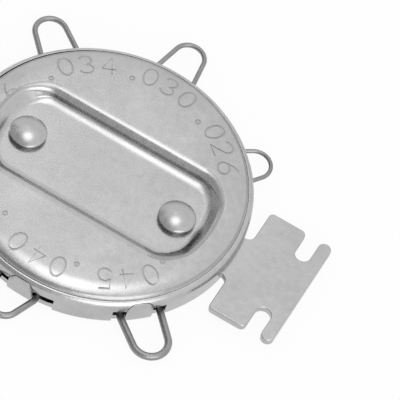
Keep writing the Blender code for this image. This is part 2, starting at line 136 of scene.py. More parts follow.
class ShellSizes(bpy.types.PropertyGroup):
    """The two pressed shells."""

    radius: length("Body radius", (PAN_HIGH.x - PAN_LOW.x) / 2, "Outside radius of the pan")
    height: length("Body height", FACE_HIGH.z, "Height of the face over the rest plane")
    wall_top: length("Wall top", PAN_HIGH.z, "Height of the pan's wall")
    skirt_radius: length("Skirt radius", (FACE_HIGH.x - FACE_LOW.x) / 2,
                         "Outside radius of the front shell's skirt")
    skirt_bottom: length("Skirt bottom", FACE_LOW.z, "Height of the skirt's lower edge")
    sheet: length("Sheet", 0.0008, "Thickness of both shells")
    roll: length("Roll", 0.0070, "Radius with which the face rolls into its shoulder")
    roll_turn: turn("Roll turn", 20.0, "How steep the gentle part of the shoulder gets")
    shoulder: length("Shoulder", 0.0011, "Radius of the bend down to the skirt")
    pan_bend: length("Pan bend", 0.00105, "Outside radius of the bend from floor to wall")
    off_centre: length("Off centre", 0.00007, "How far the front shell sits towards the tab")
    crown: turn("Crown", 4.0, "How steep the face gets where its shoulder starts")
    crown_start: length("Crown start", 0.0168, "Radius from which the face falls away")
    front_recess: length("Front recess", 0.0019, "Depth of the recess in the face")
    back_recess: length("Back recess", 0.0010, "Depth of the recess in the back")
    recess_half_width: length("Recess half width", 0.0088, "From the middle to its long side")
    recess_end: length("Recess end", 0.0170, "Radius of the recess's two ends")
    recess_corner: length("Recess corner", 0.0033, "Radius of its corners in plan")
    lip: length("Lip", 0.0009, "Radius of the solid's bend at the recess's upper edge")
    lip_roll: length("Lip roll", 0.0036, "Radius with which the face rolls into the recess")
    lip_turn: turn("Lip turn", 14.0, "How steep the gentle part of the lip gets")
    lip_bend: length("Lip bend", 0.0013, "Radius of the lip's steep part")
    foot: length("Foot", 0.00015, "Radius of the bend at the recess's floor")
    dish: length("Dish", 0.0036, "Radius with which the floor rises at its long sides")
    dish_turn: turn("Dish turn", 24.0, "How steep the gentle part of the floor gets")
    near_dish: length("Near dish", 0.0022, "The same at the side below the numbers .040")
    near_turn: turn("Near dish turn", 46.0, "How steep that gets")
    dish_foot: length("Dish foot", 0.0004, "Radius of the bend from the dished floor")
    end_start: length("End start", 0.0012, "How far inside its ends the floor starts to rise")
    end_bend: length("End bend", 0.0014, "Radius of the bends of the recess's two ends")
    end_turn: turn("End turn", 46.0, "How steep the two ends get")
    end_blend: length("End blend", 0.0012, "How far past its corners an end reaches")
    shallow_lip: share("Shallow lip", 0.7, "Largest share of the depth in the lip's radius")
    recess_lean: turn("Recess lean", 80.0, "How steep the recess's wall is")
    tongue_width: length("Tongue", 0.00412, "Width of the tongue inside each loop")
    tongue_corner: length("Tongue corner", 0.0013, "Radius of a tongue's upper corners")
    tongue_gap: length("Tongue gap", 0.00012, "Width of the gap over a tongue")
    slot_top: length("Slot top", PAN_HIGH.z - 0.00155, "Height of the slots' upper edge")
    tab_hole: length("Tab hole", 0.00388, "Half width of the hole for the tab's shank")
    tab_play: length("Tab play", 0.00005, "Gap over and under the tab's shank")
    floor_edge: length("Floor edge", 0.0008, "How far in the floor is cut at a slot")
    wall_round: length("Wall round", 0.00130, "Rounding of the wall's upper outer edge")
    wall_turn: turn("Wall turn", 28.0, "How steep the rounding is where it meets the top")
    crimp: length("Crimp", 0.00012, "How far the wall's inner upper edge leans in")
    edge_round: length("Edge round", 0.00004, "Rounding of the other sheared edges")
    crown_seam: length("Crown seam", 0.0003, "How far the recess's rings stay off the rim's")
    steps: count("Steps", 144, "Columns of faces round the disc")


class NumberSizes(bpy.types.PropertyGroup):
    """The stamped gap sizes."""

    ring: length("Ring radius", 0.0188, "Radius of the middle of the digits")
    dot_ring: length("Dot radius", 0.0174, "Radius at which the points stand")
    digit_height: length("Digit height", 0.0032, "Height of a digit")
    digit_width: length("Digit width", 0.0021, "Width of a digit")
    dot: length("Point size", 0.00032, "Radius of the point before a number")
    groove: length("Groove", 0.00030, "Width of a stamped line")
    depth: length("Depth", 0.00007, "Depth of a stamped line")
    stamp_over: length("Stamp over", 0.00005, "How far the stamp stands over the face")


class TabSizes(bpy.types.PropertyGroup):
    """The bending tab."""

    thickness: length("Thickness", TAB_HIGH.z - TAB_LOW.z, "Thickness of the plate")
    shank: length("Shank", 0.00756, "Width of the shank")
    overrun: length("Shank overrun", 0.0030, "How far the shank goes past the far rivet")
    shank_end: length("Shank end", 0.0010, "Radius of the shank's end corners")
    neck: length("Neck fillet", 0.0011, "Radius between shank and plate")
    standoff: length("Standoff", 0.0009, "Gap between the pan and the plate")
    plate: length("Plate", 0.0062, "Length of the wide plate")
    width: length("Width", TAB_HIGH.y - TAB_LOW.y, "Width of the plate and of the bar")
    inner_corner: length("Inner corner", 0.0007, "Radius of the corners near the disc")
    outer_corner: length("Outer corner", 0.0009, "Radius of the corners at the slots")
    slot: length("Slot", 0.00245, "Width of the two open slots")
    web: length("Web", 0.01035, "Width of the web between the slots")
    bar: length("Bar", 0.00205, "Width of the bar beyond the slots")
    edge_round: length("Edge round", 0.00018, "Rounding of the plate's edges")
    hole_play: length("Hole play", 0.0001, "Clearance round a rivet's shank")


class RivetSizes(bpy.types.PropertyGroup):
    """The two rivets."""

    gap: length("End gap", 0.0001, "Gap between a head and the recess's end")
    head: length("Head", 0.00285, "Radius of the domed head")
    head_height: length("Head height", 0.00155, "Height of the head over the floor")
    rim: length("Head rim", 0.0003, "Radius with which the dome turns down at its rim")
    dome_turn: turn("Dome turn", 30.0, "How steep the dome gets before its rim")
    foot: length("Head foot", 0.0022, "Radius in which the head sits on the floor")
    shank: length("Shank", 0.0015, "Radius of the shank")
    tail: length("Tail", 0.0022, "Radius of the spread tail")
    tail_height: length("Tail height", 0.0007, "Height of the spread tail")
    tail_round: length("Tail round", 0.0003, "Rounding of the tail's edge")
    seat: length("Seat", 0.00005, "Clearance under the head and over the tail")
    steps: count("Steps", 64, "Columns of faces round a rivet")


class WireSizes(bpy.types.PropertyGroup):
    """The seven gauge wires."""

    foot_length: length("Foot", 0.0026, "How far a leg's foot runs along the skirt")
    foot_bend: length("Foot bend", 0.0011, "Radius of the bend between leg and foot")
    foot_gap: length("Foot gap", 0.0003, "Gap between a foot and the skirt")
    seat: length("Seat", 0.00005, "Clearance between a wire and the pan")
    sides: count("Sides", 24, "Faces round the wire's section")
    tip_steps: count("Tip steps", 40, "Rings of faces round a loop's end")


class Finishes(bpy.types.PropertyGroup):
    """Colours and grain of the plated and bare steel."""

    sheet: colour("Plated sheet", 0.48, "Colour of the two shells")
    # The stamped lines' colour is darker than the sheet's, so it paints shade into the grooves.
    line: colour("Stamped line", 0.37, "Colour of the stamped lines")
    tab: colour("Plated tab", 0.48, "Colour of the bending tab")
    rivet: colour("Rivet steel", 0.46, "Colour of the rivets")
    wire: colour("Wire steel", 0.30, "Colour of the gauge wires")
    roughness: share("Roughness", 0.27, "Roughness of the plated steel")
    wire_roughness: share("Wire roughness", 0.36, "Roughness of the drawn wire")
    grain: length("Grain", 0.00022, "Size of the fine grain")
    grain_depth: length("Grain depth", 0.0000035, "Height of the fine grain")
    mottle: length("Mottle", 0.0011, "Size of the plating's mottled patches")
    darkest: FloatProperty(name="Darkest", description="Tone of the darkest patches",
                           default=0.74, min=0.0)
    palest: FloatProperty(name="Palest", description="Tone of the palest patches",
                          default=1.24, min=0.0)


class Studio(bpy.types.PropertyGroup):
    """Floor, lamps and camera."""

    floor: colour("Floor", 0.80, "Colour of the floor")
    floor_size: length("Floor size", 6.0, "Side of the floor")
    floor_glow: share("Floor glow", 0.93, "How white the floor is seen, against its shadows")
    world: FloatProperty(name="Sky", description="Brightness of the light from all round",
                         default=0.85, min=0.0)
    key: FloatProperty(name="Key lamp", description="Power of the large lamp behind",
                       default=0.24, min=0.0, unit="POWER")
    fill: FloatProperty(name="Fill lamp", description="Power of the lamp on the camera's right",
                        default=0.55, min=0.0, unit="POWER")
    spark: FloatProperty(name="Small lamp", description="Power of the small bright lamp",
                         default=0.008, min=0.0, unit="POWER")
    card: colour("Card", 0.60, "Colour of the grey cards that the metal mirrors")
    azimuth: turn("Azimuth", 12.84, "Which side the camera stands on")
    elevation: turn("Elevation", 55.46, "How high the camera stands")
    roll: turn("Roll", 19.11, "How far the camera is turned about its view")
    distance: length("Distance", 0.6503, "From the camera to what it looks at")
    lens: FloatProperty(name="Lens", description="Focal length", default=395.8,
                        unit="CAMERA")
    aim_along: length("Aim along", 0.01439, "How far the aim is out along the tab")
    aim_across: length("Aim across", 0.00377, "How far the aim is across the tab")


class GaugeSettings(bpy.types.PropertyGroup):
    """Everything that the gauge's operators read."""

    shells: PointerProperty(type=ShellSizes)
    numbers: PointerProperty(type=NumberSizes)
    tab: PointerProperty(type=TabSizes)
    rivets: PointerProperty(type=RivetSizes)
    wires: PointerProperty(type=WireSizes)
    finishes: PointerProperty(type=Finishes)
    studio: PointerProperty(type=Studio)


# Plane geometry


def arc(centre, radius, start, end, steps):
    """Points from the start angle to the end angle, both included."""
    turns = [math.radians(start + (end - start) * k / steps) for k in range(steps + 1)]
    return [(centre[0] + radius * math.cos(a), centre[1] + radius * math.sin(a))
            for a in turns]


def rounded_outline(corners, steps):
    """A closed outline whose (x, y, radius) corners are rounded."""
    points = []
    for k, (x, y, radius) in enumerate(corners):
        corner = Vector((x, y))
        before = (Vector(corners[k - 1][:2]) - corner).normalized()
        after = (Vector(corners[(k + 1) % len(corners)][:2]) - corner).normalized()
        half = before.angle(after) / 2
        middle = corner + (before + after).normalized() * radius / math.sin(half)
        reach = radius / math.tan(half)
        start, end = corner + before * reach - middle, corner + after * reach - middle
        sweep = start.angle_signed(end)
        for step in range(steps + 1):
            swung = start.copy()
            swung.rotate(Matrix.Rotation(-sweep * step / steps, 2))
            points.append(middle + swung)
    return points


def recess_outline(shells, outset):
    """The recess outline moved outwards by outset, anticlockwise from +X."""
    corner_y = shells.recess_half_width - shells.recess_corner
    corner_x = math.sqrt((shells.recess_end - shells.recess_corner) ** 2 - corner_y ** 2)
    end_angle = math.degrees(math.atan2(corner_y, corner_x))
    arc_steps, side_steps = 10, 16
    quarter = arc((0.0, 0.0), shells.recess_end + outset, 0.0, end_angle, arc_steps)
    quarter += arc((corner_x, corner_y), shells.recess_corner + outset, end_angle, 90.0,
                   arc_steps)[1:]
    quarter += [(corner_x * (1 - k / side_steps), shells.recess_half_width + outset)
                for k in range(1, side_steps + 1)]
    upper = quarter + [(-x, y) for x, y in reversed(quarter[:-1])]
    return upper + [(x, -y) for x, y in reversed(upper[1:-1])]


def recess_section(shells, depth, dished):
    """(outset, drop) points of the recess wall, from the edge of its floor up to the face.

    The face rolls gently into the lip. The floor has a plain foot where dished is 0, and is
    dished into it where that is 1, at the far side, or -1, at the near side. The steep part
    stands where the solid's does.
    """
    lean = shells.recess_lean

    def steep_outset(drop):
        start = shells.lip * (1 - math.cos(lean))
        return -shells.lip * math.sin(lean) - (drop - start) / math.tan(lean)

    def double_bend(first_radius, first_turn, second_radius):
        """(run, rise) points of two arcs, from level to the wall's lean."""
        turns = [first_turn * k / GENTLE_STEPS for k in range(GENTLE_STEPS + 1)]
        points = [(first_radius * math.sin(bend), first_radius * (1 - math.cos(bend)))
                  for bend in turns]
        run, rise = points[-1]
        for k in range(1, STEEP_STEPS + 1):
            bend = first_turn + (lean - first_turn) * k / STEEP_STEPS
            points.append((run + second_radius * (math.sin(bend) - math.sin(first_turn)),
                           rise + second_radius * (math.cos(first_turn) - math.cos(bend))))
        return points

    if dished > 0:
        foot = double_bend(shells.dish, shells.dish_turn, shells.dish_foot)
    elif dished < 0:
        foot = double_bend(shells.near_dish, shells.near_turn, shells.dish_foot)
    else:
        foot = double_bend(shells.foot, shells.dish_turn, shells.foot)
    end = steep_outset(depth - foot[-1][1]) - foot[-1][0]
    lip = double_bend(shells.lip_roll, shells.lip_turn,
                      min(shells.lip_bend, shells.shallow_lip * depth))
    start = steep_outset(lip[-1][1]) + lip[-1][0]
    return ([(end + run, depth - rise) for run, rise in foot]
            + [(start - run, rise) for run, rise in reversed(lip)])


def end_section(shells, depth):
    """As many points at the recess's short ends, which rise gently between two like bends."""
    radius, steep = shells.end_bend, shells.end_turn
    bent = 2 * radius * (1 - math.cos(steep))
    run = 2 * radius * math.sin(steep) + (depth - bent) / math.tan(steep)
    steps = GENTLE_STEPS + STEEP_STEPS
    half = [(radius * math.sin(steep * k / steps), radius * (1 - math.cos(steep * k / steps)))
            for k in range(steps + 1)]
    start = -shells.end_start
    return ([(start + along, depth - rise) for along, rise in half]
            + [(start + run - along, rise) for along, rise in reversed(half)])


def recess_rings(shells, depth, dished):
    """The recess's rings of (x, y, drop) points, from its floor up to the face.

    A dished recess has a dished floor at its long sides and gentle ends, and the one goes
    over into the other round its corners. A plain one has the same wall all round.
    """
    sections = [recess_section(shells, depth, side * dished) for side in (0, 1, -1)]
    if dished:
        sections[0] = end_section(shells, depth)
    bare = recess_outline(shells, 0.0)
    blend = shells.recess_corner + shells.end_blend
    rings = []
    for row in zip(*sections):
        outlines = [recess_outline(shells, outset) for outset, drop in row]
        ring = []
        for k, (x, y) in enumerate(outlines[0]):
            side = 1 if y > 0 else 2
            inside = (shells.recess_half_width - abs(bare[k][1])) / blend
            part = min(max(1 - inside, 0.0), 1.0)
            part = part * part * (3 - 2 * part)
            side_x, side_y = outlines[side][k]
            ring.append((x + (side_x - x) * part, y + (side_y - y) * part,
                         row[0][1] + (row[side][1] - row[0][1]) * part))
        rings.append(ring)
    return rings


# Meshes


def add_object(name, mesh):
    obj = bpy.data.objects.new(name, mesh)
    bpy.context.scene.collection.objects.link(obj)
    return obj


def settle(obj):
    """The object's evaluated shape becomes its mesh, and its modifiers go."""
    bpy.context.view_layer.update()
    graph = bpy.context.evaluated_depsgraph_get()
    mesh = bpy.data.meshes.new_from_object(obj.evaluated_get(graph), depsgraph=graph)
    name = obj.name
    bpy.data.objects.remove(obj)
    mesh.name = name
    return add_object(name, mesh)


def shade(mesh, sharp_angle=32.0):
    """Smooth faces, with the edges sharper than the angle left sharp."""
    mesh.shade_smooth()
    mesh.set_sharp_from_angle(angle=math.radians(sharp_angle))


def weigh_normals(obj):
    """Large faces keep their own normals, so that flat places stay flat up to their bends."""
    weighted = obj.modifiers.new("weighted normals", "WEIGHTED_NORMAL")
    weighted.keep_sharp = True
    return settle(obj)


def finish_piece(obj, node):
    """Moves the piece to its place, where it stands for its solid."""
    obj.data.transform(Matrix.Translation(CENTRE))
    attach(obj, "root")
    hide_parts(node)


def set_materials(obj, *materials):
    """Gives the object these materials, and each face keeps the number of its own."""
    numbers = [face.material_index for face in obj.data.polygons]
    obj.data.materials.clear()
    for material in materials:
        obj.data.materials.append(material)
    obj.data.polygons.foreach_set("material_index", numbers)


def loft(bm, inner, outer, closed_cells=None):
    """A band of faces between two rings, where its cells are closed."""
    for k in range(len(inner)):
        if closed_cells is None or closed_cells[k - 1]:
            bm.faces.new((inner[k - 1], outer[k - 1], outer[k], inner[k]))


def fill_between(bm, inner, outer):
    """Triangles between two rings whose points don't match, in order of their angle."""
    def heading(ring, index):
        place = ring[index % len(ring)].co
        return math.atan2(place.y, place.x) % math.tau + math.tau * (index // len(ring))

    i = j = 0
    while i < len(inner) or j < len(outer):
        start, across = inner[i % len(inner)], outer[j % len(outer)]
        if j == len(outer) or (i < len(inner) and heading(inner, i + 1) < heading(outer, j + 1)):
            i += 1
            bm.faces.new((start, across, inner[i % len(inner)]))
        else:
            j += 1
            bm.faces.new((start, across, outer[j % len(outer)]))


def rim_columns(shells, spans, levels):
    """Columns round the disc, anticlockwise from 0 degrees.

    The spans are (angle, points) where something interrupts the even rim, and the points are
    (sideways, heights, closed). All other columns have these levels.
    """
    columns, covered = [], []
    for angle, points in spans:
        turns = [angle + math.degrees(math.asin(p[0] / shells.radius)) for p in points]
        covered.append((turns[0], turns[-1]))
        columns += [Column(a % 360, p[1], p[2]) for a, p in zip(turns, points)]
    even = 360 / shells.steps
    for k in range(shells.steps):
        turned = k * even
        if not any((turned - low) % 360 <= high - low + even / 2 or
                   (low - turned) % 360 < even / 2 for low, high in covered):
            columns.append(Column(turned, levels, SOLID))
    return sorted(columns, key=lambda column: column.angle)


def wall_levels(shells, low, high):
    """Heights of the wall's rows: the tab hole's lower side, low, high, and its rounded top."""
    start = max(high + HAIR, shells.wall_top - shells.wall_round * math.cos(shells.wall_turn))
    steps = 5
    top = [start + (shells.wall_top - start) * math.sin(math.pi / 2 * k / steps)
           for k in range(steps + 1)]
    return [TAB_LOW.z - shells.tab_play, low, high] + top


def station_span(shells, station):
    """The columns of one station: a slot, the tongue under its gap, and a slot."""
    near = shells.tongue_width / 2
    far = near + station.slot_width
    corner, wide = shells.tongue_corner, shells.tongue_corner + shells.tongue_gap
    middle = near - corner
    base = shells.wall_top - station.tongue_drop - corner
    gap_end = middle + math.sqrt(wide ** 2 - (shells.slot_top - base) ** 2)
    corner_steps, slot_steps = 8, 3
    half = [middle + corner * math.sin(math.pi / 2 * k / corner_steps)
            for k in range(corner_steps + 1)]
    half += [gap_end + (far - gap_end) * k / slot_steps for k in range(slot_steps + 1)]
    places = [-along for along in reversed(half)] + half
    points = []
    for along, after in zip(places, places[1:] + [None]):
        off = max(abs(along) - middle, 0.0)
        low, high = base, shells.slot_top
        if abs(along) < gap_end:
            low = base + math.sqrt(max(corner ** 2 - off ** 2, 0.0))
            high = base + math.sqrt(wide ** 2 - off ** 2)
        cells = SOLID
        if after is not None:
            cells = TONGUE if abs(along + after) / 2 < near else SLOT
        points.append((along, wall_levels(shells, low, high), cells))
    return station.angle, points


def tab_span(shells, levels, cells):
    """The columns of the hole or notch for the tab's shank."""
    steps = 8
    places = [shells.tab_hole * (2 * k / steps - 1) for k in range(steps + 1)]
    return 0.0, [(along, levels, SOLID if along == places[-1] else cells) for along in places]


def pressed_skin(shells, depth, dished, rim, columns, upright, height,
                 surface=lambda radius: 0.0, spread=0):
    """The outer skin of a pressed shell, from its recess's floor to its rim.

    rim holds (radius, drop) points that every column has. upright holds those of the bend
    below them, which open cells don't have, and each column's rows follow it. height turns a
    drop into a height, and surface gives the drop of the face round the recess. On a crowned
    face, spread more rings carry the recess's edge out to the rim.
    """
    bm = bmesh.new()
    turns = [math.radians(column.angle) for column in columns]

    def ring(points):
        return [bm.verts.new(point) for point in points]

    def circle(radius, heights):
        return ring([(radius * math.cos(a), radius * math.sin(a), z)
                     for a, z in zip(turns, heights)])

    recess = [ring([(x, y, height(drop + surface(math.hypot(x, y)))) for x, y, drop in points])
              for points in recess_rings(shells, depth, dished)]
    level, lower = ([circle(radius, [height(drop)] * len(turns)) for radius, drop in points]
                    for points in (rim, upright))
    lower += [circle(upright[-1][0], heights)
              for heights in zip(*(column.heights for column in columns))]
    for step in range(spread, 0, -1):
        wide = []
        for vert in recess[-1]:
            out = vert.co.xy.length
            further = out + (rim[0][0] - shells.crown_seam - out) / step
            x, y = vert.co.xy * (further / out)
            wide.append((x, y, height(surface(further))))
        recess.append(ring(wide))
    bm.faces.new(recess[0])
    for rings in (recess, level):
        for inner, outer in zip(rings, rings[1:]):
            loft(bm, inner, outer)
    fill_between(bm, recess[-1], level[0])
    for row, (inner, outer) in enumerate(zip([level[-1]] + lower, lower)):
        band = min(max(row - len(upright) + 1, 0), len(SOLID) - 1)
        loft(bm, inner, outer, [column.closed[band] for column in columns])
    loose = [vert for vert in bm.verts if not vert.link_faces]
    bmesh.ops.delete(bm, geom=loose, context="VERTS")
    return bm


def thicken(name, bm, sheet):
    """A closed shell of the skin, with the sheet's thickness inside it."""
    mesh = bpy.data.meshes.new(name)
    bm.to_mesh(mesh)
    bm.free()
    obj = add_object(name, mesh)
    solid = obj.modifiers.new("sheet", "SOLIDIFY")
    solid.thickness = sheet
    solid.offset = -1.0
    solid.use_quality_normals = True
    return settle(obj)


def round_wall_top(mesh, shells):
    """Rounds the outer skin of the wall's upper edge, and leans its inner one in."""
    centre = shells.wall_top - shells.wall_round * math.cos(shells.wall_turn)
    for vert in mesh.vertices:
        flat = vert.co.xy.length
        rise = min(vert.co.z - centre, shells.wall_round)
        if flat > shells.radius - shells.sheet / 2 and rise > 0:
            drawn = shells.wall_round - math.sqrt(shells.wall_round ** 2 - rise ** 2)
            vert.co.xy *= (shells.radius - drawn) / flat
        elif flat > shells.skirt_radius and vert.co.z > shells.wall_top - HAIR:
            vert.co.xy *= 1 - shells.crimp / flat


@contextmanager
def edited(mesh):
    """The mesh as a bmesh, which is written back to it at the end."""
    bm = bmesh.new()
    bm.from_mesh(mesh)
    yield bm
    bm.to_mesh(mesh)
    bm.free()


def round_edges(obj, shells):
    """Rounds the sheared edges, which lie outside the recess."""
    inside = shells.recess_end + 2 * shells.sheet
    sheared_angle = math.radians(50)
    with edited(obj.data) as bm:
        sheared = [edge for edge in bm.edges
                   if edge.is_manifold and edge.calc_face_angle() > sheared_angle
                   and (edge.verts[0].co + edge.verts[1].co).xy.length / 2 > inside]
        bmesh.ops.bevel(bm, geom=sheared, offset=shells.edge_round, segments=2, profile=0.5,
                        affect="EDGES", clamp_overlap=True)


# Geometry node trees


def new_tree(name, inputs):
    """A geometry node tree with a geometry input and the named inputs after it."""
    tree = bpy.data.node_groups.new(name, "GeometryNodeTree")
    tree.interface.new_socket("Geometry", in_out="OUTPUT", socket_type="NodeSocketGeometry")
    tree.interface.new_socket("Geometry", in_out="INPUT", socket_type="NodeSocketGeometry")
    for label, kind in inputs:
        tree.interface.new_socket(label, in_out="INPUT", socket_type="NodeSocket" + kind)
    return tree


def add_node(tree, kind, settings=None, **sockets):
    """A node with its settings, and the values or links of its sockets.

    A socket is named in lower case, or by its number with an s before it.
    """
    made = tree.nodes.new(kind)
    for key, value in (settings or {}).items():
        setattr(made, key, value)
    for key, value in sockets.items():
        if key[0] == "s" and key[1:].isdigit():
            socket = made.inputs[int(key[1:])]
        else:
            socket = next(s for s in made.inputs
                          if s.enabled and s.name.lower().replace(" ", "_") == key)
        if isinstance(value, bpy.types.NodeSocket):
            tree.links.new(value, socket)
        else:
            socket.default_value = value
    return made


def maths(tree, operation, first, second=0.0):
    """The output of a Math node. Its second number isn't used by every operation."""
    return add_node(tree, "ShaderNodeMath", {"operation": operation}, s0=first,
                    s1=second).outputs[0]


def end_tree(tree, geometry, material):
    """Ends the tree with its material, and returns it."""
    real = add_node(tree, "GeometryNodeRealizeInstances", geometry=geometry)
    painted = add_node(tree, "GeometryNodeSetMaterial", geometry=real.outputs[0],
                       material=material)
    add_node(tree, "NodeGroupOutput", s0=painted.outputs[0])
    return tree


def smooth_but_sharp(tree, mesh, angle):
    """Smooth faces, with the edges sharper than the angle left sharp."""
    smooth = add_node(tree, "GeometryNodeSetShadeSmooth", {"domain": "FACE"}, s0=mesh)
    turned = add_node(tree, "GeometryNodeInputMeshEdgeAngle")
    steep = add_node(tree, "FunctionNodeCompare", {"operation": "GREATER_THAN"},
                     s0=turned.outputs["Unsigned Angle"], s1=math.radians(angle))
    return add_node(tree, "GeometryNodeSetShadeSmooth", {"domain": "EDGE"},
                    s0=smooth.outputs[0], s1=steep.outputs[0], s2=False).outputs[0]


def run_tree(obj, tree, values):
    """Runs the tree on the object with its named inputs, and keeps what it makes as a mesh."""
    modifier = obj.modifiers.new(tree.name, "NODES")
    modifier.node_group = tree
    for item in tree.interface.items_tree:
        if item.in_out == "INPUT" and item.name in values:
            modifier[item.identifier] = values[item.name]
    return settle(obj)


def line_mesh(name, lines):
    """A mesh of lines, each given by its points and by whether it is closed."""
    mesh = bpy.data.meshes.new(name)
    points, edges = [], []
    for line, closed in lines:
        first = len(points)
        points += [tuple(p) if len(p) == 3 else (p[0], p[1], 0.0) for p in line]
        edges += [(k, k + 1) for k in range(first, len(points) - 1)]
        if closed:
            edges.append((len(points) - 1, first))
    mesh.from_pydata(points, edges, [])
    return mesh


def wire_tree(material):
    """Draws a round wire along the object's line."""
    tree = new_tree("Bent wire", [("Radius", "Float"), ("Sides", "Int")])
    given = add_node(tree, "NodeGroupInput").outputs
    line = add_node(tree, "GeometryNodeMeshToCurve", s0=given[0])
    section = add_node(tree, "GeometryNodeCurvePrimitiveCircle", {"mode": "RADIUS"},
                       resolution=given["Sides"], radius=given["Radius"])
    drawn = add_node(tree, "GeometryNodeCurveToMesh", curve=line.outputs[0],
                     profile_curve=section.outputs[0], fill_caps=True)
    return end_tree(tree, smooth_but_sharp(tree, drawn.outputs[0], angle=50.0), material)


def turned_tree(material):
    """Turns the object's line, given in the XZ plane, round the Z axis."""
    tree = new_tree("Turned on the Z axis", [("Steps", "Int"), ("Offset", "Vector")])
    given = add_node(tree, "NodeGroupInput").outputs
    size = add_node(tree, "GeometryNodeAttributeDomainSize", s0=given[0])
    across = maths(tree, "ADD", given["Steps"], 1.0)
    grid = add_node(tree, "GeometryNodeMeshGrid", vertices_x=size.outputs["Point Count"],
                    vertices_y=across)
    index = add_node(tree, "GeometryNodeInputIndex").outputs[0]
    row = maths(tree, "FLOOR", maths(tree, "DIVIDE", index, across))
    step = maths(tree, "FLOORED_MODULO", index, across)
    angle = maths(tree, "MULTIPLY", maths(tree, "DIVIDE", step, given["Steps"]), math.tau)
    place = add_node(tree, "GeometryNodeInputPosition").outputs[0]
    point = add_node(tree, "GeometryNodeSampleIndex", {"data_type": "FLOAT_VECTOR"},
                     geometry=given[0], value=place, index=row)
    turned = add_node(tree, "ShaderNodeVectorRotate", {"rotation_type": "Z_AXIS"},
                      vector=point.outputs[0], angle=angle)
    moved = add_node(tree, "GeometryNodeSetPosition", geometry=grid.outputs[0],
                     position=turned.outputs[0], offset=given["Offset"])
    merged = add_node(tree, "GeometryNodeMergeByDistance", geometry=moved.outputs[0],
                      distance=SAME_POINT)
    return end_tree(tree, smooth_but_sharp(tree, merged.outputs[0], angle=40.0), material)


def stamp_tree():
    """Draws the object named Section along the object's lines, kept upright."""
    tree = new_tree("Number stamp", [("Section", "Object")])
    given = add_node(tree, "NodeGroupInput").outputs
    line = add_node(tree, "GeometryNodeMeshToCurve", s0=given[0])
    upright = add_node(tree, "GeometryNodeSetCurveNormal", {"mode": "Z_UP"},
                       s0=line.outputs[0])
    section = add_node(tree, "GeometryNodeObjectInfo", object=given["Section"])
    profile = add_node(tree, "GeometryNodeMeshToCurve", s0=section.outputs["Geometry"])
    drawn = add_node(tree, "GeometryNodeCurveToMesh", curve=upright.outputs[0],
                     profile_curve=profile.outputs[0], fill_caps=True)
    return end_tree(tree, drawn.outputs[0], None)


# Stamped signs, as lines in a box from (-0.5, -0.5) to (0.5, 0.5)


def oval(centre, width, height, start=90.0, sweep=360.0, steps=24):
    """A line round an oval or a part of it, and whether it is closed."""
    turns = [math.radians(start + sweep * k / steps) for k in range(steps + 1)]
    line = [(centre[0] + width / 2 * math.cos(a), centre[1] + height / 2 * math.sin(a))
            for a in turns]
    return (line[:-1], True) if abs(sweep) == 360 else (line, False)


SIGNS = {
    ".": [oval((0, 0), 1, 1, steps=12)],
    "0": [oval((0, 0), 1, 1)],
    "2": [(oval((0, 0.21), 0.94, 0.58, 170, -200, 14)[0] + [(-0.5, -0.5), (0.5, -0.5)], False)],
    "3": [(oval((0, 0.25), 0.86, 0.5, 165, -255, 14)[0]
           + oval((0, -0.25), 1.0, 0.5, 90, -255, 14)[0][1:], False)],
    "4": [([(0.22, -0.5), (0.22, 0.5), (-0.5, -0.2), (0.5, -0.2)], False)],
    "5": [([(0.42, 0.5), (-0.34, 0.5), (-0.42, 0.06)]
           + oval((-0.02, -0.18), 0.98, 0.64, 130, -280, 16)[0], False)],
    "6": [([(0.3, 0.5), (-0.1, 0.3), (-0.42, -0.05)]
           + oval((0, -0.22), 1.0, 0.56, 165, 360, 20)[0], False)],
    "8": [oval((0, 0.25), 0.8, 0.5, -90, 360, 18), oval((0, -0.25), 1.0, 0.5, 90, 360, 18)],
}


def sign_lines(numbers):
    """Every stamped sign's lines, in place round the disc."""
    lines = []
    for signs, angles in NUMBERS:
        for sign, angle in zip(signs, angles):
            out = Vector((math.cos(math.radians(angle)), math.sin(math.radians(angle)), 0.0))
            right = out.cross(UP)
            middle, height, width = numbers.ring, numbers.digit_height, numbers.digit_width
            if sign == ".":
                middle, height, width = numbers.dot_ring, 2 * numbers.dot, 2 * numbers.dot
            lines += [([out * (middle + y * height) + right * (x * width) for x, y in line],
                       closed) for line, closed in SIGNS[sign]]
    return lines


# Shader maths


class Value:
    """A shader socket with ordinary arithmetic on it."""

    def __init__(self, shader, socket):
        self.shader = shader
        self.socket = socket

    def maths(self, operation, other, first=None):
        values = (self if first is None else first, other)
        return self.shader.node("ShaderNodeMath", {"operation": operation},
                                dict(enumerate(values)))

    def __add__(self, other):
        return self.maths("ADD", other)

    def __sub__(self, other):
        return self.maths("SUBTRACT", other)

    def __rsub__(self, other):
        return self.maths("SUBTRACT", self, first=other)

    def __mul__(self, other):
        return self.maths("MULTIPLY", other)

    def clipped(self):
        """The value, kept from 0 to 1."""
        return self.maths("MINIMUM", 1.0).maths("MAXIMUM", 0.0)

    __radd__ = __add__
    __rmul__ = __mul__


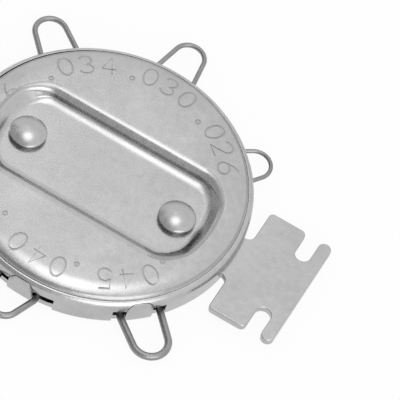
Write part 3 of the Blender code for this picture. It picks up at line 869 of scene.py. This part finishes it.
class Shader:
    """The nodes of a material or of the world, ending in an output of this type."""

    def __init__(self, owner, output="ShaderNodeOutputMaterial"):
        owner.use_nodes = True
        self.owner = owner
        self.tree = owner.node_tree
        self.tree.nodes.clear()
        self.output = self.tree.nodes.new(output)

    def node(self, kind, settings=None, sockets=None, output=0):
        """A node of this type, with its settings first and then its sockets' values."""
        made = self.tree.nodes.new(kind)
        for key, value in (settings or {}).items():
            setattr(made, key, value)
        for key, value in (sockets or {}).items():
            if isinstance(value, Value):
                self.tree.links.new(value.socket, made.inputs[key])
            else:
                made.inputs[key].default_value = value
        return Value(self, made.outputs[output])

    def noise(self, place, size, detail=2.0, roughness=0.5, distortion=0.0):
        """Noise from 0 to 1, whose patches are about this size across."""
        return self.node("ShaderNodeTexNoise", None, {
            "Vector": place, "Scale": 1 / size, "Detail": detail, "Roughness": roughness,
            "Distortion": distortion})

    def mix(self, factor, colours):
        """Goes from the first colour to the second. Sockets 6 and 7 are a Mix node's colours."""
        first, second = ((*channels, 1.0) for channels in colours)
        return self.node("ShaderNodeMix", {"data_type": "RGBA"},
                         {0: factor, 6: first, 7: second}, output=2)

    def finish(self, surface):
        self.tree.links.new(surface.socket, self.output.inputs["Surface"])
        return self.owner


def plated_steel(material, shade_of_steel, finishes, roughness, contrast):
    """Satin plated steel: mottled in small patches and wide clouds, with a fine grain."""
    shader = Shader(material)
    place = shader.node("ShaderNodeTexCoord", output="Object")
    grain = shader.noise(place, finishes.grain, detail=3.0, roughness=0.6)
    mottle = shader.noise(place, finishes.mottle, detail=4.0, roughness=0.62, distortion=0.3)
    cloud = shader.noise(place, finishes.mottle * 6)
    tone = (mottle - 0.5) * contrast + (cloud - 0.5) * contrast + 0.5
    colours = shader.mix(tone.clipped(), [
        [min(1.0, channel * factor) for channel in shade_of_steel]
        for factor in (finishes.darkest, finishes.palest)])
    mottle_gloss, grain_gloss, mottle_rise = 0.16, 0.14, 2.2
    rough = (mottle - 0.5) * mottle_gloss + (grain - 0.5) * grain_gloss + roughness
    height = grain * finishes.grain_depth + mottle * (finishes.grain_depth * mottle_rise)
    bump = shader.node("ShaderNodeBump", None,
                       {"Strength": 1.0, "Distance": 1.0, "Height": height})
    shader.finish(shader.node("ShaderNodeBsdfPrincipled", None, {
        "Base Color": colours, "Metallic": 1.0, "Roughness": rough.clipped(), "Normal": bump}))


def finish_material(name, finishes):
    """The finish of this name, made when it is first asked for."""
    label = name + "_finish"
    if label not in bpy.data.materials:
        shade_of_steel, roughness, contrast = {
            "plated_sheet": (finishes.sheet, finishes.roughness, 0.55),
            # The stamped lines' darker colour is painted shade in the grooves.
            "stamped_line": (finishes.line, finishes.roughness, 0.4),
            "plated_tab": (finishes.tab, finishes.roughness, 0.45),
            "rivet_steel": (finishes.rivet, finishes.roughness, 0.6),
            "wire_steel": (finishes.wire, finishes.wire_roughness, 1.0),
        }[name]
        plated_steel(bpy.data.materials.new(label), shade_of_steel, finishes, roughness,
                     contrast)
    return bpy.data.materials[label]


# Pieces


def number_stamp(shells, numbers):
    """The tool that stamps the numbers: a V-shaped ridge along each line of their signs."""
    side = numbers.groove / 2 * (1 + numbers.stamp_over / numbers.depth)
    ridge = [(-side, numbers.stamp_over), (0.0, -numbers.depth), (side, numbers.stamp_over)]
    section = add_object("groove_section", line_mesh("groove_section", [(ridge, True)]))
    lines = [([point + UP * face_height(shells, point.xy.length) for point in line], closed)
             for line, closed in sign_lines(numbers)]
    stamp = run_tree(add_object("number_stamp", line_mesh("number_stamp", lines)),
                     stamp_tree(), {"Section": section})
    bpy.data.objects.remove(section)
    return stamp


def cut_numbers(obj, shells, numbers):
    """Stamps the gap sizes into the face, and gives their grooves material number 1, a painted
    shade.
    """
    stamp = number_stamp(shells, numbers)
    cut = obj.modifiers.new("numbers", "BOOLEAN")
    cut.operation = "DIFFERENCE"
    cut.solver = "EXACT"
    cut.use_self = True
    cut.object = stamp
    obj = settle(obj)
    bpy.data.objects.remove(stamp)
    # The groove faces that face up get the darker material, which paints shade into them.
    for face in obj.data.polygons:
        out = face.center.xy.length
        level = face_height(shells, out) - HAIR
        if (abs(out - numbers.ring) < numbers.digit_height
                and level > face.center.z > level - 2 * numbers.depth):
            face.material_index = 1 if face.normal.z > 0 else 0
    return obj


def crown_end(shells):
    """The radius at which the crowned face ends and its shoulder starts."""
    steep = shells.shoulder * (1 - math.sin(shells.roll_turn))
    gentle = shells.roll * (math.sin(shells.roll_turn) - math.sin(shells.crown))
    return shells.skirt_radius - steep - gentle


def face_drop(shells, radius):
    """How far the face has fallen away at this radius: a shallow arc, then a closer one."""
    end = crown_end(shells)
    crown_radius = (end - shells.crown_start) / math.sin(shells.crown)
    out = min(max(radius - shells.crown_start, 0.0), end - shells.crown_start)
    drop = crown_radius - math.sqrt(crown_radius ** 2 - out ** 2)
    if radius > end:
        run = radius - end + shells.roll * math.sin(shells.crown)
        drop += shells.roll * math.cos(shells.crown) - math.sqrt(shells.roll ** 2 - run ** 2)
    return drop


def face_height(shells, radius):
    return shells.height - face_drop(shells, radius)


def build_front(shells, numbers):
    """The front shell: its crowned face, its shoulder in two arcs, and its skirt."""
    end = crown_end(shells)
    rim_width, rim_steps, roll_steps, shoulder_steps, spread = 0.0002, 2, 5, 9, 14
    radii = [end - rim_width * (1 - k / rim_steps) for k in range(rim_steps + 1)]
    rim = [(radius, face_drop(shells, radius)) for radius in radii]
    bend = []
    for radius, start, steep, steps in (
            (shells.roll, shells.crown, shells.roll_turn, roll_steps),
            (shells.shoulder, shells.roll_turn, math.pi / 2, shoulder_steps)):
        along, drop = (bend or rim)[-1]
        for k in range(1, steps + 1):
            lean = start + (steep - start) * k / steps
            bend.append((along + radius * (math.sin(lean) - math.sin(start)),
                         drop + radius * (math.cos(start) - math.cos(lean))))
    levels = [TAB_HIGH.z + shells.tab_play, shells.skirt_bottom]
    columns = rim_columns(shells, [tab_span(shells, levels, SKIRT_NOTCH)], levels)
    bm = pressed_skin(shells, shells.front_recess, True, rim, columns, bend,
                      lambda drop: shells.height - drop,
                      lambda radius: face_drop(shells, radius), spread)
    obj = thicken("front_shell_plated", bm, shells.sheet)
    round_edges(obj, shells)
    obj = cut_numbers(obj, shells, numbers)
    obj.data.transform(Matrix.Translation((shells.off_centre, 0.0, 0.0)))
    shade(obj.data, sharp_angle=14.0)
    return weigh_normals(obj)


def build_back(shells):
    """The back shell: its floor, the bend round it, and its slotted wall."""
    inside = shells.radius - shells.pan_bend
    edge = shells.radius - shells.floor_edge
    turned = math.degrees(math.asin((edge - inside) / shells.pan_bend))
    rim_width, bend_steps = 0.002, 8
    bend = arc((inside, shells.pan_bend), shells.pan_bend, turned - 90, 0.0, bend_steps)
    rim = [(inside - rim_width, 0.0), (inside, 0.0), bend[0]]
    levels = wall_levels(shells, TAB_HIGH.z + shells.tab_play, shells.slot_top)
    spans = [station_span(shells, station) for station in STATIONS]
    spans.append(tab_span(shells, levels, TAB_HOLE))
    columns = rim_columns(shells, spans, levels)
    bm = pressed_skin(shells, shells.back_recess, False, rim, columns, bend[1:],
                      lambda drop: drop)
    bmesh.ops.reverse_faces(bm, faces=bm.faces)
    obj = thicken("back_shell_plated", bm, shells.sheet)
    round_wall_top(obj.data, shells)
    round_edges(obj, shells)
    shade(obj.data)
    return weigh_normals(obj)


def rivet_offset(shells, rivets):
    """How far from the middle the rivets sit, so that their heads clear the solid's recess."""
    foot = recess_section(shells, shells.front_recess, False)[0][0]
    return shells.recess_end + foot - rivets.gap - rivets.head


def build_tab(shells, sizes, rivets):
    """The bending tab: half of its outline, mirrored, with a hole for each rivet."""
    neck = sizes.shank / 2
    half = sizes.width / 2
    inner = shells.radius + sizes.standoff
    slot_in = inner + sizes.plate
    slot_out = slot_in + sizes.slot
    tip = slot_out + sizes.bar
    web = sizes.web / 2
    offset = rivet_offset(shells, rivets)
    upper = [
        (tip, half, sizes.bar / 2), (slot_out, half, sizes.bar / 2),
        (slot_out, web, sizes.slot / 2), (slot_in, web, sizes.slot / 2),
        (slot_in, half, sizes.outer_corner), (inner, half, sizes.inner_corner),
        (inner, neck, sizes.neck), (-offset - sizes.overrun, neck, sizes.shank_end),
    ]
    corner_steps, hole_steps = 10, 32
    outline = rounded_outline(upper + [(x, -y, r) for x, y, r in reversed(upper)], corner_steps)
    holes = [arc((side * offset, 0.0), rivets.shank + sizes.hole_play, 360.0, 0.0,
                 hole_steps)[:-1] for side in (1, -1)]
    curve = bpy.data.curves.new("bending_tab_plated", "CURVE")
    curve.dimensions = "2D"
    curve.fill_mode = "BOTH"
    curve.extrude = sizes.thickness / 2 - sizes.edge_round
    curve.bevel_depth = sizes.edge_round
    curve.bevel_resolution = 3
    curve.offset = -sizes.edge_round
    for line in (outline, *holes):
        spline = curve.splines.new("POLY")
        spline.points.add(len(line) - 1)
        for point, (x, y) in zip(spline.points, line):
            point.co = (x, y, 0.0, 1.0)
        spline.use_cyclic_u = True
    obj = settle(add_object("bending_tab_plated", curve))
    flat_angle = math.radians(0.2)
    with edited(obj.data) as bm:
        bmesh.ops.remove_doubles(bm, verts=bm.verts, dist=SAME_POINT)
        bmesh.ops.recalc_face_normals(bm, faces=bm.faces)
        bmesh.ops.dissolve_limit(bm, angle_limit=flat_angle, verts=[], edges=bm.edges)
    obj.data.transform(Matrix.Translation((0.0, 0.0, (TAB_LOW.z + TAB_HIGH.z) / 2)))
    shade(obj.data, sharp_angle=40.0)
    return weigh_normals(obj)


def rivet_profile(shells, rivets):
    """(radius, height) points of a rivet, from the middle of its head down to its tail."""
    seat = shells.height - shells.front_recess + rivets.seat
    turned = math.sin(rivets.dome_turn)
    dome_radius = (rivets.head - rivets.rim * (1 - turned)) / turned
    rim_start = 90.0 - math.degrees(rivets.dome_turn)
    top = seat + rivets.head_height
    dome_steps, rim_steps, tail_steps = 12, 8, 5
    dome = arc((0.0, top - dome_radius), dome_radius, 90.0, rim_start, dome_steps)
    dome[0] = (0.0, top)
    rim_middle = (rivets.head - rivets.rim,
                  top - dome_radius + (dome_radius - rivets.rim) * math.cos(rivets.dome_turn))
    rim = arc(rim_middle, rivets.rim, rim_start, 0.0, rim_steps)[1:]
    rim.append((rivets.foot, seat))
    tail_top = shells.back_recess - rivets.seat
    tail_bottom = tail_top - rivets.tail_height
    tail = arc((rivets.tail - rivets.tail_round, tail_bottom + rivets.tail_round),
               rivets.tail_round, 0.0, -90.0, tail_steps)
    return dome + rim + [(rivets.shank, seat), (rivets.shank, tail_top),
                         (rivets.tail, tail_top)] + tail + [(0.0, tail_bottom)]


def wire_radius(station):
    return station.number * INCH / 1000 / 2


def wire_path(shells, wires, station):
    """A wire's centre line as (outward, sideways) points, from one foot to the other."""
    radius = wire_radius(station)
    bend_steps = 8
    clockwise, anticlockwise = (shells.tongue_width / 2 + wires.seat + slack + radius
                                for slack in station.slack)
    foot_end = wires.foot_length + max(clockwise, anticlockwise)
    behind_skirt = math.sqrt((shells.skirt_radius - shells.sheet) ** 2 - foot_end ** 2)
    foot = behind_skirt - radius - wires.foot_gap
    tip_centre = shells.radius + station.reach - station.tip_half_width

    def leg(root, side):
        bend = arc((foot + wires.foot_bend, root + wires.foot_bend), wires.foot_bend,
                   180.0, 270.0, bend_steps)
        points = [(foot, root + wires.foot_length)] + bend + [(shells.radius, root)]
        return [(outward, side * sideways) for outward, sideways in points]

    def lean(root, side):
        tip_side = station.tip_half_width + side * station.sway
        return math.degrees(math.atan2(root - tip_side, tip_centre - shells.radius))

    tip = arc((tip_centre, station.sway), station.tip_half_width,
              90.0 - lean(anticlockwise, 1), -90.0 + lean(clockwise, -1), wires.tip_steps)
    return leg(anticlockwise, 1) + tip + leg(clockwise, -1)[::-1]


# Stage


def seen_rays(shader):
    """1 for rays that show the background: straight to the camera, or by gloss or glass."""
    path = shader.node("ShaderNodeLightPath")
    outputs = path.socket.node.outputs
    seen = [Value(shader, outputs[name])
            for name in ("Is Camera Ray", "Is Glossy Ray", "Is Transmission Ray")]
    return (seen[0] + seen[1] + seen[2]).clipped()


def sheet_mesh(name, width, height):
    """A flat sheet, with its middle at the origin."""
    mesh = bpy.data.meshes.new(name)
    mesh.from_pydata([(x * width / 2, y * height / 2, 0.0)
                      for x, y in ((-1, -1), (1, -1), (1, 1), (-1, 1))], [], [(0, 1, 2, 3)])
    return mesh


def add_floor(studio):
    """A pale floor, seen as white where nothing shades it."""
    floor = add_object("floor", sheet_mesh("floor", studio.floor_size, studio.floor_size))
    shader = Shader(bpy.data.materials.new("pale_floor"))
    pale = shader.node("ShaderNodeBsdfDiffuse", None, {"Color": (*studio.floor, 1.0)})
    white = shader.node("ShaderNodeEmission", None, {"Color": (1, 1, 1, 1), "Strength": 1.0})
    shadowed = shader.node("ShaderNodeMixShader", None,
                           {0: studio.floor_glow, 1: pale, 2: white})
    mixed = shader.node("ShaderNodeMixShader", None,
                        {0: seen_rays(shader), 1: pale, 2: shadowed})
    set_materials(floor, shader.finish(mixed))


def light_room(studio):
    """An even light from all round, which is seen as plain white."""
    world = bpy.data.worlds.new("studio_room")
    bpy.context.scene.world = world
    shader = Shader(world, "ShaderNodeOutputWorld")
    strength = seen_rays(shader) * (1.0 - studio.world) + studio.world
    shader.finish(shader.node("ShaderNodeBackground", None,
                              {"Color": (1, 1, 1, 1), "Strength": strength}))


def towards(around, rise):
    """The direction from the object to this side, at this height."""
    return Vector((math.sin(around) * math.cos(rise), -math.cos(around) * math.cos(rise),
                   math.sin(rise)))


def aim_at_object(obj, studio, bearing, elevation, distance):
    """Places the object by its bearing to the right of the camera, facing the gauge."""
    around = studio.azimuth + math.radians(bearing)
    place = towards(around, math.radians(elevation)) * distance
    turned = (-place).to_track_quat("-Z", "Y").to_matrix().to_4x4()
    obj.matrix_world = Matrix.Translation(place) @ turned


def add_lamps(studio):
    """Three round lamps: each one's bearing, elevation and distance, its size and its power."""
    plan = (("key_lamp", (180, 84, 0.50), 0.24, studio.key),
            ("fill_lamp", (34, 36, 0.45), 0.36, studio.fill),
            ("small_lamp", (-168, 56, 0.45), 0.04, studio.spark))
    for name, place, size, power in plan:
        lamp = bpy.data.lights.new(name, "AREA")
        lamp.shape = "DISK"
        lamp.size = size
        lamp.energy = power
        aim_at_object(add_object(name, lamp), studio, *place)


def add_cards(studio):
    """Grey cards, which only the metal's gloss sees: each one's place, and its size."""
    plan = (("left_card", (-42, 44, 0.40), 0.58, 0.60),
            ("side_card", (-103, 26, 0.45), 0.42, 0.38),
            ("low_card", (180, 6, 0.60), 1.10, 0.12))
    shader = Shader(bpy.data.materials.new("grey_card"))
    grey = shader.finish(
        shader.node("ShaderNodeBsdfDiffuse", None, {"Color": (*studio.card, 1.0)}))
    for name, place, width, height in plan:
        card = add_object(name, sheet_mesh(name, width, height))
        aim_at_object(card, studio, *place)
        card.visible_camera = False
        card.visible_diffuse = False
        card.visible_shadow = False
        set_materials(card, grey)


def add_camera(studio, shells):
    """The camera, which looks at a point on the face's level and is turned about its view."""
    lens = bpy.data.cameras.new("camera")
    lens.lens = studio.lens
    lens.sensor_width = 36.0
    lens.clip_start, lens.clip_end = 0.01, 20.0
    camera = add_object("camera", lens)
    azimuth, roll = studio.azimuth, studio.roll
    back = towards(azimuth, studio.elevation)
    right = Vector((math.cos(azimuth), math.sin(azimuth), 0.0))
    up = back.cross(right)
    rolled_right = right * math.cos(roll) + up * math.sin(roll)
    rolled_up = up * math.cos(roll) - right * math.sin(roll)
    aim = CENTRE + Vector((studio.aim_along, studio.aim_across, shells.height))
    turned = Matrix((rolled_right, rolled_up, back)).transposed().to_4x4()
    camera.matrix_world = Matrix.Translation(aim + back * studio.distance) @ turned
    bpy.context.scene.camera = camera


# Operators


class GAUGE_OT_front_shell(bpy.types.Operator):
    """Presses the front shell and stamps the gap sizes into its face"""

    bl_idname = "gauge.front_shell"
    bl_label = "Front shell"

    def execute(self, context):
        settings = context.scene.gap_gauge
        obj = build_front(settings.shells, settings.numbers)
        # The second material is the darker colour that paints shade into the stamped grooves.
        set_materials(obj, finish_material("plated_sheet", settings.finishes),
                      finish_material("stamped_line", settings.finishes))
        finish_piece(obj, "front_shell")
        return {"FINISHED"}


class GAUGE_OT_back_shell(bpy.types.Operator):
    """Presses the back shell, with the slots and tongues in its wall"""

    bl_idname = "gauge.back_shell"
    bl_label = "Back shell"

    def execute(self, context):
        settings = context.scene.gap_gauge
        obj = build_back(settings.shells)
        set_materials(obj, finish_material("plated_sheet", settings.finishes))
        finish_piece(obj, "back_shell")
        return {"FINISHED"}


class GAUGE_OT_bending_tab(bpy.types.Operator):
    """Stamps the slotted tab that bends a plug's side electrode"""

    bl_idname = "gauge.bending_tab"
    bl_label = "Bending tab"

    def execute(self, context):
        settings = context.scene.gap_gauge
        obj = build_tab(settings.shells, settings.tab, settings.rivets)
        set_materials(obj, finish_material("plated_tab", settings.finishes))
        finish_piece(obj, "bending_tab")
        return {"FINISHED"}


class GAUGE_OT_rivets(bpy.types.Operator):
    """Turns the two rivets that hold the shells together"""

    bl_idname = "gauge.rivets"
    bl_label = "Rivets"

    def execute(self, context):
        settings = context.scene.gap_gauge
        shells, rivets = settings.shells, settings.rivets
        tree = turned_tree(finish_material("rivet_steel", settings.finishes))
        profile = [(radius, 0.0, height) for radius, height in rivet_profile(shells, rivets)]
        offset = rivet_offset(shells, rivets)
        for node, side in (("rivet_tab_side", 1), ("rivet_far_side", -1)):
            name = node + "_steel"
            obj = run_tree(add_object(name, line_mesh(name, [(profile, False)])), tree,
                           {"Steps": rivets.steps, "Offset": (side * offset, 0.0, 0.0)})
            finish_piece(obj, node)
        return {"FINISHED"}


class GAUGE_OT_wires(bpy.types.Operator):
    """Bends the seven gauge wires"""

    bl_idname = "gauge.wires"
    bl_label = "Gauge wires"

    def execute(self, context):
        settings = context.scene.gap_gauge
        shells, wires = settings.shells, settings.wires
        tree = wire_tree(finish_material("wire_steel", settings.finishes))
        for station in STATIONS:
            node = f"wire_gauge_{station.number:03d}"
            radius = wire_radius(station)
            mesh = line_mesh(node + "_bent", [(wire_path(shells, wires, station), False)])
            place = Matrix.Translation((0.0, 0.0, shells.sheet + wires.seat + radius))
            mesh.transform(place @ Matrix.Rotation(math.radians(station.angle), 4, "Z"))
            obj = run_tree(add_object(node + "_bent", mesh), tree,
                           {"Radius": radius, "Sides": wires.sides})
            finish_piece(obj, node)
        return {"FINISHED"}


class GAUGE_OT_studio(bpy.types.Operator):
    """Sets up the floor, the lamps and the camera"""

    bl_idname = "gauge.studio"
    bl_label = "Studio"

    def execute(self, context):
        studio = context.scene.gap_gauge.studio
        add_floor(studio)
        light_room(studio)
        add_lamps(studio)
        add_cards(studio)
        add_camera(studio, context.scene.gap_gauge.shells)
        context.scene.view_settings.view_transform = "Standard"
        return {"FINISHED"}


class GAUGE_PT_panel(bpy.types.Panel):
    """Lists the gauge's sizes, finishes and operators"""

    bl_label = "Spark plug gap gauge"
    bl_idname = "GAUGE_PT_panel"
    bl_space_type = "VIEW_3D"
    bl_region_type = "UI"
    bl_category = "Gap gauge"

    def draw(self, context):
        settings = context.scene.gap_gauge
        for operator in OPERATORS:
            self.layout.operator(operator.bl_idname)
        for group in ("shells", "numbers", "tab", "rivets", "wires", "finishes", "studio"):
            sizes = getattr(settings, group)
            box = self.layout.box()
            box.label(text=group.capitalize())
            for key in sizes.__annotations__:
                box.prop(sizes, key)


OPERATORS = (GAUGE_OT_front_shell, GAUGE_OT_back_shell, GAUGE_OT_bending_tab,
             GAUGE_OT_rivets, GAUGE_OT_wires, GAUGE_OT_studio)
CLASSES = (ShellSizes, NumberSizes, TabSizes, RivetSizes, WireSizes, Finishes, Studio,
           GaugeSettings, *OPERATORS, GAUGE_PT_panel)


def register():
    for entry in CLASSES:
        bpy.utils.register_class(entry)
    bpy.types.Scene.gap_gauge = PointerProperty(type=GaugeSettings)


def unregister():
    del bpy.types.Scene.gap_gauge
    for entry in reversed(CLASSES):
        bpy.utils.unregister_class(entry)


def main():
    register()
    for name in ("front_shell", "back_shell", "bending_tab", "rivets", "wires", "studio"):
        getattr(bpy.ops.gauge, name)()


if __name__ == "__main__":
    main()
